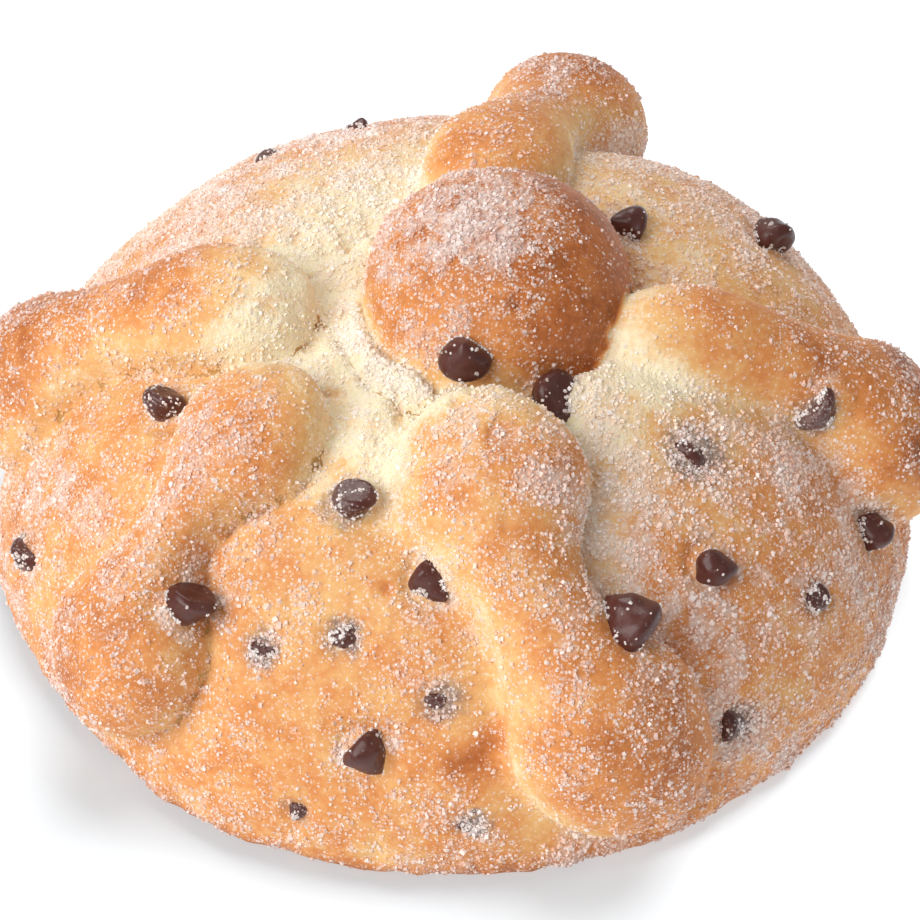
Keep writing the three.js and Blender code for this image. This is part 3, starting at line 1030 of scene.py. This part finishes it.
def scatter(points, quads, weight, count, rng):
    """Random places on a surface: a quad is drawn by area times weight, then a spot on it.

    Each is given as the quad's four corners and their shares, so that any value at the points can be blended.
    """
    a, b, c, d = (points[quads[:, i]] for i in range(4))
    area = np.linalg.norm(np.cross(c - a, d - b), axis=1)
    chance = area * weight[quads].mean(1)
    drawn = quads[rng.choice(len(quads), count, p=chance / chance.sum())]
    u, v = rng.uniform(size=(2, count))
    return drawn, np.stack([(1 - u) * (1 - v), u * (1 - v), u * v, (1 - u) * v], 1)


def blended(values, drawn, shares):
    """Values at the points, blended at the scattered places."""
    return np.einsum("nk,nk...->n...", shares, values[drawn])


GRAIN_CORNERS = np.array([[x, y, z] for x in (-0.5, 0.5) for y in (-0.5, 0.5) for z in (-0.5, 0.5)])
GRAIN_FACES = np.array([[0, 1, 3, 2], [4, 6, 7, 5], [0, 4, 5, 1], [2, 3, 7, 6], [0, 2, 6, 4], [1, 5, 7, 3]])


def grains(places, normals, size, rng):
    """Points and faces of many grains: blunt boxes of uneven sides, turned at random and nearly half sunk."""
    count = len(places)
    widths = size * rng.lognormal(0, 0.2, (count, 1)) * rng.uniform((1, 0.8, 0.62), (1.1, 1, 0.9), (count, 3))
    corners = GRAIN_CORNERS * (1 + rng.uniform(-0.16, 0.16, (count, *GRAIN_CORNERS.shape))) * widths[:, None]
    turned = np.einsum("nij,nkj->nki", random_turns(count, rng), corners)
    middle = places + normals * widths.mean(1)[:, None] * 0.1
    points = (middle[:, None] + turned).reshape(-1, 3)
    faces = (np.arange(count)[:, None, None] * len(GRAIN_CORNERS) + GRAIN_FACES).reshape(-1, 4)
    return points, faces


def grain_looks(thick, bake, smudge, rng):
    """How white each grain is, and how dark a bake it lies on, which a clear grain shows.

    Grains are whiter where sugar lies thick. Drops have no bake, and count as the darkest.
    """
    on_drop = bake == 0
    white = 0.22 + 0.65 * rng.beta(1.8, 1.6, len(thick)) + 0.1 * (thick - 0.8) + 0.1 * smudge
    below = np.maximum(np.maximum(bake, 0.95 * smudge), on_drop)
    return np.clip(white + 0.25 * on_drop, 0.1, 0.95), below


# Blender meshes and materials


def make_piece(name, points, faces, material, smooth=True, **values):
    """A mesh object at the origin, from arrays of points, quads and values at the points."""
    mesh = bpy.data.meshes.new(name)
    same = faces[:, 1] == faces[:, 2]
    mesh.from_pydata(points.tolist(), [], faces[~same].tolist() + faces[same][:, [0, 1, 3]].tolist())
    for key, value in values.items():
        mesh.attributes.new(key, "FLOAT", "POINT").data.foreach_set("value", np.asarray(value, np.float32))
    mesh.polygons.foreach_set("use_smooth", np.full(len(mesh.polygons), smooth))
    mesh.materials.append(material)
    mesh.update()
    piece = bpy.data.objects.new(name, mesh)
    bpy.context.scene.collection.objects.link(piece)
    return piece


def read_all(items, key, columns, kind=float):
    """What each item of a mesh says under a key, as an array with a row for each item."""
    values = np.empty(len(items) * columns, kind)
    items.foreach_get(key, values)
    return values.reshape(-1, columns)


def read_piece(piece):
    """Points, normals and quads of a piece, as arrays."""
    mesh = piece.data
    points, normals = (read_all(mesh.vertices, key, 3) for key in ("co", "normal"))
    starts, totals = (read_all(mesh.polygons, key, 1, int) for key in ("loop_start", "loop_total"))
    corners = read_all(mesh.loops, "vertex_index", 1, int)
    quads = corners[starts[totals[:, 0] == 4] + np.arange(4), 0]
    return points, normals, quads


def read_values(piece, name):
    """Values stored at the points of a piece, or zeros where there are none."""
    values = np.zeros(len(piece.data.vertices), np.float32)
    if name in piece.data.attributes:
        piece.data.attributes[name].data.foreach_get("value", values)
    return values.astype(float)


def new_material(name, constants):
    """A node material with its tree and its shader, whose own sockets hold the constants."""
    material = bpy.data.materials.new(name)
    material.use_nodes = True
    tree = material.node_tree
    shader = tree.nodes["Principled BSDF"]
    for key, value in constants.items():
        shader.inputs[key].default_value = value
    return material, tree, shader


def add_node(tree, kind, inputs, **settings):
    """A node with its settings, whose inputs, by name or number, hold a value or are linked to a socket."""
    made = tree.nodes.new(kind)
    for key, value in settings.items():
        setattr(made, key, value)
    for key, value in inputs.items():
        if isinstance(value, bpy.types.NodeSocket):
            tree.links.new(value, made.inputs[key])
        else:
            made.inputs[key].default_value = value
    return made


def add_texture(tree, kind, scale, **inputs):
    """A texture in the piece's own coordinates, in features for each metre."""
    place = add_node(tree, "ShaderNodeTexCoord", {}).outputs["Object"]
    return add_node(tree, kind, {"Vector": place, "Scale": scale, **inputs}).outputs


def add_noise(tree, scale, detail=3.0, roughness=0.55):
    """Noise of a scale, with some octaves of detail."""
    return add_texture(tree, "ShaderNodeTexNoise", scale, Detail=detail, Roughness=roughness)["Fac"]


def add_math(tree, operation, a, b=0.0):
    """One arithmetic step."""
    return add_node(tree, "ShaderNodeMath", {0: a, 1: b}, operation=operation).outputs[0]


def add_range(tree, value, low, high, to_low, to_high):
    """A value carried from one range to another and held within it."""
    inputs = {"Value": value, "From Min": low, "From Max": high, "To Min": to_low, "To Max": to_high}
    return add_node(tree, "ShaderNodeMapRange", inputs).outputs[0]


def add_mix(tree, share, a, b):
    """Two colours mixed."""
    return add_node(tree, "ShaderNodeMix", {0: share, 6: a, 7: b}, data_type="RGBA").outputs[2]


def add_value(tree, name):
    """A value stored at the points of the piece."""
    return add_node(tree, "ShaderNodeAttribute", {}, attribute_name=name).outputs["Fac"]


def add_bumps(tree, shader, height, strength, depth):
    """Fine relief in the shading, by a height."""
    bumps = add_node(tree, "ShaderNodeBump", {"Height": height, "Strength": strength, "Distance": depth})
    tree.links.new(bumps.outputs["Normal"], shader.inputs["Normal"])


def crust_colour(tree, crust, bake):
    """Colour of the crust from pale dough to dark bake."""
    ramp = add_node(tree, "ShaderNodeValToRGB", {"Fac": bake})
    colours = (crust.pale, crust.light, crust.golden, crust.brown, crust.dark)
    while len(ramp.color_ramp.elements) < len(colours):
        ramp.color_ramp.elements.new(0.5)
    for element, place, colour in zip(ramp.color_ramp.elements, BAKE_STOPS, colours):
        element.position = place
        element.color = colour
    return ramp.outputs["Color"]


def add_crystals(tree, size, cover):
    """Share of a coat of tiny crystals: one round grain in each random cell, where cover exceeds its draw."""
    cells = add_texture(tree, "ShaderNodeTexVoronoi", 1 / size)
    draws = add_node(tree, "ShaderNodeSeparateColor", {"Color": cells["Color"]}).outputs
    present = add_range(tree, add_math(tree, "SUBTRACT", cover, draws[0]), -0.05, 0.1, 0.0, 1.0)
    grain = add_range(tree, cells["Distance"], 0.2, 0.6, 1.0, 0.0)
    white = add_range(tree, draws[1], 0.0, 1.0, 0.2, 0.95)
    return add_math(tree, "MULTIPLY", add_math(tree, "MULTIPLY", present, grain), white)


def add_cracks(tree):
    """Share of crack and crease shade: a thin ragged line with gaps, where the distance to a tear plus noise
    is small.
    """
    shift = add_range(tree, add_noise(tree, 420, 2, 0.65), 0.2, 0.8, -0.9, 0.9)
    away = add_math(tree, "ABSOLUTE", add_math(tree, "ADD", add_value(tree, "crack"), shift))
    width = add_range(tree, add_noise(tree, 260, 0), 0.46, 0.72, 0.0, 0.3)
    return add_range(tree, add_math(tree, "SUBTRACT", width, away), 0.0, 0.15, 0.0, 1.0)


def add_coat(tree, crack_and_crease_shade):
    """Share of fine sugar: two sizes of crystal, and a film where it lies thick, but none in cracks."""
    dust, smudge = add_value(tree, "dust"), add_value(tree, "smudge")
    cover = add_math(tree, "ADD", dust, add_math(tree, "MULTIPLY", smudge, 0.3))
    crystals = [add_crystals(tree, size * MM, cover) for size in (0.6, 0.36)]
    bare = add_math(tree, "SUBTRACT", dust, smudge)
    film = add_range(tree, add_math(tree, "ADD", bare, add_noise(tree, 500, 1)), 1.0, 2.0, 0.0, 0.75)
    coat = add_math(tree, "MAXIMUM", add_math(tree, "MAXIMUM", *crystals), film)
    return add_math(tree, "MULTIPLY", coat, add_range(tree, crack_and_crease_shade, 0, 1, 1, 0))


def crust_material(crust):
    """Baked crust: from pale dough to dark bake, mottled by noise, with cracks painted partly as shade,
    smudges and sugar.
    """
    constants = {
        "Specular IOR Level": 0.3,
        "Subsurface Weight": 0.12,
        "Subsurface Radius": (1.0, 0.5, 0.2),
        "Subsurface Scale": 4 * MM,
    }
    material, tree, shader = new_material("baked_crust", constants)
    mottle = add_range(tree, add_noise(tree, 130, 3, 0.6), 0.25, 0.75, -0.17, 0.17)
    grit = add_noise(tree, 900, 2)
    fine = add_range(tree, grit, 0.25, 0.75, -0.07, 0.07)
    bake = add_math(tree, "ADD", add_math(tree, "ADD", add_value(tree, "bake"), mottle), fine)
    crack_and_crease_shade = add_cracks(tree)
    smudged = add_math(tree, "MULTIPLY", add_value(tree, "smudge"), add_range(tree, grit, 0.15, 0.5, 0, 1))
    # The crumb colour along the cracks is partly torn crumb and partly painted shade in the creases.
    colour = add_mix(tree, crack_and_crease_shade, crust_colour(tree, crust, bake), tuple(crust.crumb))
    colour = add_mix(tree, smudged, colour, tuple(crust.smudge))
    colour = add_mix(tree, add_coat(tree, crack_and_crease_shade), colour, tuple(crust.dust))
    tree.links.new(colour, shader.inputs["Base Color"])
    tree.links.new(add_range(tree, bake, 0.2, 0.8, 0.75, 0.5), shader.inputs["Roughness"])
    crumbly = add_range(tree, bake, 0.0, 0.25, 4.5, 1.0)
    rough = add_math(tree, "MULTIPLY", add_noise(tree, 1300, 2, 0.65), crumbly)
    height = add_math(tree, "SUBTRACT", rough, add_math(tree, "MULTIPLY", crack_and_crease_shade, 3))
    add_bumps(tree, shader, height, 0.5, 0.25 * MM)
    return material


def chocolate_material(drops):
    """Dark chocolate: satin, hazy with bloom in patches, and dusted with sugar by the drop's own share."""
    material, tree, shader = new_material("dark_chocolate", {"Specular IOR Level": 0.4})
    haze = add_range(tree, add_noise(tree, 420, 4), 0.45, 0.8, 0.0, 0.8)
    colour = add_mix(tree, haze, tuple(drops.chocolate), tuple(drops.bloom))
    dust = add_value(tree, "dust")
    film = add_range(tree, add_math(tree, "ADD", add_noise(tree, 1700, 3), dust), 0.9, 1.6, 0.0, 0.4)
    covered = add_math(tree, "MAXIMUM", add_crystals(tree, 0.45 * MM, dust), film)
    tree.links.new(add_mix(tree, covered, colour, tuple(drops.dust)), shader.inputs["Base Color"])
    dull = add_range(tree, add_math(tree, "ADD", haze, covered), 0, 1, 0.28, 0.7)
    tree.links.new(dull, shader.inputs["Roughness"])
    add_bumps(tree, shader, add_noise(tree, 900, 3), 0.3, 0.2 * MM)
    return material


def sugar_material(sugar, crust):
    """Sugar crystals, from white ones to clear ones that take the colour of the crust below.

    A faint glow stands for the light that scatters inside them.
    """
    glow = {"Emission Color": (1, 0.89, 0.82, 1), "Emission Strength": 0.03}
    material, tree, shader = new_material("sugar_crystal", {"Roughness": 0.25, "IOR": 1.54, **glow})
    below = crust_colour(tree, crust, add_value(tree, "bake"))
    colour = add_mix(tree, add_value(tree, "white"), below, tuple(sugar.colour))
    tree.links.new(colour, shader.inputs["Base Color"])
    return material


def floor_material(colour):
    """Plain pale floor that glows a little, so that shadows on it stay light."""
    glow = {"Emission Color": (0.94, 1, 1.04, 1), "Emission Strength": 0.5}
    matt = {"Base Color": colour, "Roughness": 0.9, "Specular IOR Level": 0.1}
    return new_material("pale_floor", {**matt, **glow})[0]


# Floor, light and camera


def lay_floor(colour):
    """A wide level floor under the loaf, which belongs to the stage only."""
    corners = np.array([[-1, -1, 0], [1, -1, 0], [1, 1, 0], [-1, 1, 0]]) * FLOOR_HALF_WIDTH
    floor = make_piece("floor", corners, np.array([[0, 1, 2, 3]]), floor_material(colour))
    return floor


def even_light(strength):
    """A white world that lights everything from all round."""
    world = bpy.data.worlds.new("even_light")
    world.use_nodes = True
    background = world.node_tree.nodes["Background"]
    background.inputs["Strength"].default_value = strength
    background.inputs["Color"].default_value = (1, 1, 1, 1)
    return world


def add_light(name, lamp, power, lit):
    """A square lamp that faces the loaf and lights some pieces only."""
    light = bpy.data.lights.new(name, "AREA")
    light.energy = power
    light.size = lamp.side
    holder = bpy.data.objects.new(name, light)
    holder.location = lamp.place
    holder.rotation_euler = (LIT_PLACE - Vector(lamp.place)).to_track_quat("-Z", "Y").to_euler()
    bpy.context.scene.collection.objects.link(holder)
    lit_by = bpy.data.collections.new("lit_by_" + name)
    for piece in lit:
        lit_by.objects.link(piece)
    holder.light_linking.receiver_collection = lit_by


def add_camera(scene, stage):
    """The camera in front of the loaf, looking down on it."""
    camera = bpy.data.cameras.new("camera")
    camera.lens = stage.lens
    camera.sensor_width = SENSOR_WIDTH
    holder = bpy.data.objects.new("camera", camera)
    back = Vector((0, -math.cos(stage.elevation), math.sin(stage.elevation)))
    holder.location = Vector(stage.target) + back * stage.distance
    holder.rotation_euler = (-back).to_track_quat("-Z", "Y").to_euler()
    scene.collection.objects.link(holder)
    scene.camera = holder


# Operators, panel and registration


def settle(piece, slot=None, *nodes):
    """The piece rides on the loaf's body and may stand for solids that it replaces; its slot is not used."""
    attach(piece, "root")
    if nodes:
        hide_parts(*nodes)


class PAN_OT_bread(bpy.types.Operator):
    """Bake the loaf, its knob and its bones as one piece"""

    bl_idname = "pan.bread"
    bl_label = "Bread"

    def execute(self, context):
        points, faces, values = bake_bread(context.scene.pan_loaf)
        material = crust_material(context.scene.pan_crust)
        piece = make_piece(BREAD, points, faces, material, **values)
        settle(piece, "crust", "bread")
        return {"FINISHED"}


class PAN_OT_drops(bpy.types.Operator):
    """Set the chocolate drops where their solids are"""

    bl_idname = "pan.drops"
    bl_label = "Chocolate drops"

    def execute(self, context):
        drops = context.scene.pan_drops
        material = chocolate_material(drops)
        faces = ring_faces(drops.rings, drops.sides)
        crust, normals, _ = read_piece(bpy.data.objects[BREAD])
        for seed, name in enumerate(DROP_NODES):
            place = drop_place(name)
            points = drop_form(place, drops, seed)
            above = above_crust(points, crust, normals)
            values = drop_values(points, place, above, DUSTED.get(name, BARE), seed)
            piece = make_piece(DROP_PIECES[name], points, faces, material, **values)
            settle(piece, "chocolate", name)
        return {"FINISHED"}


class PAN_OT_sugar(bpy.types.Operator):
    """Scatter grains of sugar over the bread, and small ones over the drops"""

    bl_idname = "pan.sugar"
    bl_label = "Sugar"

    def execute(self, context):
        sugar = context.scene.pan_sugar
        material = sugar_material(sugar, context.scene.pan_crust)
        rng = np.random.default_rng(sugar.seed)
        for kind, gather in (("coarse", 1.5), ("medium", 1.25), ("small", 1), ("fine", 0.8)):
            places = [sugar_places([BREAD], getattr(sugar, kind + "_count"), gather, rng)]
            if kind == "small":
                places.append(sugar_places(DROP_PIECES.values(), sugar.on_drops, gather, rng))
            spots, normals, thick, bake, smudge = (np.concatenate(part) for part in zip(*places))
            points, faces = grains(spots, normals, getattr(sugar, kind + "_size"), rng)
            white, below = grain_looks(thick, bake, smudge, rng)
            looks = {"bake": below, "white": white}
            values = {key: np.repeat(look, len(GRAIN_CORNERS)) for key, look in looks.items()}
            piece = make_piece("sugar_" + kind, points, faces, material, smooth=False, **values)
            settle(piece)
        return {"FINISHED"}


class PAN_OT_stage(bpy.types.Operator):
    """Lay the floor, and set the lights and the camera"""

    bl_idname = "pan.stage"
    bl_label = "Stage"

    def execute(self, context):
        scene = context.scene
        stage = scene.pan_stage
        floor = lay_floor(stage.floor)
        food = [piece for piece in scene.objects if piece.type == "MESH" and piece is not floor]
        add_light("key", KEY, stage.key_power, food)
        add_light("back", BACK, stage.back_power, food)
        add_light("over_floor", OVER_FLOOR, stage.floor_power, [floor])
        scene.world = even_light(stage.sky)
        add_camera(scene, stage)
        scene.view_settings.view_transform = "Standard"
        return {"FINISHED"}


class PAN_PT_sidebar(bpy.types.Panel):
    """Steps and settings of the pan de muerto"""

    bl_label = "Pan de muerto"
    bl_idname = "PAN_PT_sidebar"
    bl_space_type = "VIEW_3D"
    bl_region_type = "UI"
    bl_category = "Pan de muerto"

    def draw(self, context):
        for operator in OPERATORS:
            self.layout.operator(operator.bl_idname)
        for name, group in SETTINGS.items():
            box = self.layout.box()
            box.label(text=group.__doc__)
            for key in group.__annotations__:
                box.prop(getattr(context.scene, name), key)


SETTINGS = {
    "pan_loaf": LoafSettings,
    "pan_crust": CrustSettings,
    "pan_drops": DropSettings,
    "pan_sugar": SugarSettings,
    "pan_stage": StageSettings,
}
OPERATORS = (PAN_OT_bread, PAN_OT_drops, PAN_OT_sugar, PAN_OT_stage)
CLASSES = (*SETTINGS.values(), *OPERATORS, PAN_PT_sidebar)


def register():
    """Makes the operators, the panel and the scene's settings known."""
    for cls in CLASSES:
        bpy.utils.register_class(cls)
    for name, group in SETTINGS.items():
        setattr(bpy.types.Scene, name, bpy.props.PointerProperty(type=group))


def unregister():
    """Takes back what register did, in the opposite order."""
    for name in SETTINGS:
        delattr(bpy.types.Scene, name)
    for cls in reversed(CLASSES):
        bpy.utils.unregister_class(cls)


def main():
    """Makes every piece and the stage."""
    register()
    bpy.ops.pan.bread()
    bpy.ops.pan.drops()
    bpy.ops.pan.sugar()
    bpy.ops.pan.stage()


if __name__ == "__main__":
    main()
